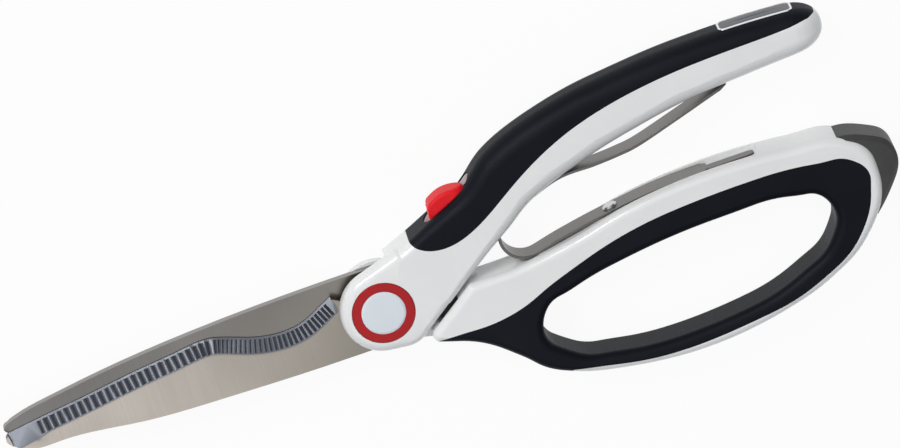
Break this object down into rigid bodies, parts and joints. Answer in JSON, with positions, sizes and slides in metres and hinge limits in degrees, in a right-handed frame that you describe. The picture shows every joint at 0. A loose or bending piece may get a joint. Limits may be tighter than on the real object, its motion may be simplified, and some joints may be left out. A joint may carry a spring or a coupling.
{
  "type": "kitchen shears",
  "caption": "Sprung kitchen shears: a serrated and a plain blade, a straight handle, a looped handle and a thumb lock.",
  "frame": {"origin": "on the pivot axis, in the plane of the rear faces that the closed shears rest on", "axes": "+X from the blades' tips to the handles' ends, +Y towards the straight upper handle, +Z out of the front face along the pivot axis"},
  "size_m": [0.2547, 0.0857, 0.0144],
  "materials": {
    "front_blade_steel": "satin, ground along the bevel",
    "rear_blade_steel": "satin, brushed across",
    "white_plastic": "gloss",
    "black_grip": "matt, soft to the touch",
    "badge_metal": "satin",
    "grey_bumper": "fine grained",
    "spring_steel": "satin",
    "pivot_steel": "turned",
    "ring_red": "satin",
    "button_red": "satin",
    "inner_steel": "plain, stamped or cut from wire"
  },
  "bodies": {
    "lower": {"plain_blade": "rear_blade_steel", "lower_handle_front_shell": "white_plastic", "lower_handle_rear_shell": "white_plastic", "lower_grip": "black_grip", "end_bumper": "grey_bumper", "handle_spring": "spring_steel", "spring_rivet": "pivot_steel", "lower_tang_pin": "inner_steel", "pivot_bolt": "pivot_steel", "pivot_washer": "pivot_steel", "pivot_nut": "pivot_steel"},
    "upper": {"serrated_blade": "front_blade_steel", "upper_handle_front_shell": "white_plastic", "upper_handle_rear_shell": "white_plastic", "upper_grip": "black_grip", "badge_plate": "badge_metal", "upper_tang_pin": "inner_steel", "pivot_ring": "ring_red", "pivot_cap": "white_plastic", "lock_detent_spring": "inner_steel"},
    "lock": {"lock_slider": "button_red", "lock_bolt": "inner_steel"}
  },
  "joints": [
    {"name": "blade_pivot", "type": "hinge", "parent": "lower", "child": "upper", "pos_m": [0, 0, 0.007], "axis": [0, 0, 1], "range_deg": [0, 35], "stiffness_Nm_per_rad": 0.8, "springref_deg": 51.57, "deforming": ["handle_spring"]},
    {"name": "lock_slide", "type": "slide", "parent": "upper", "child": "lock", "axis": [0.8572, 0.515, 0], "range_m": [0, 0.0029]}
  ]
}
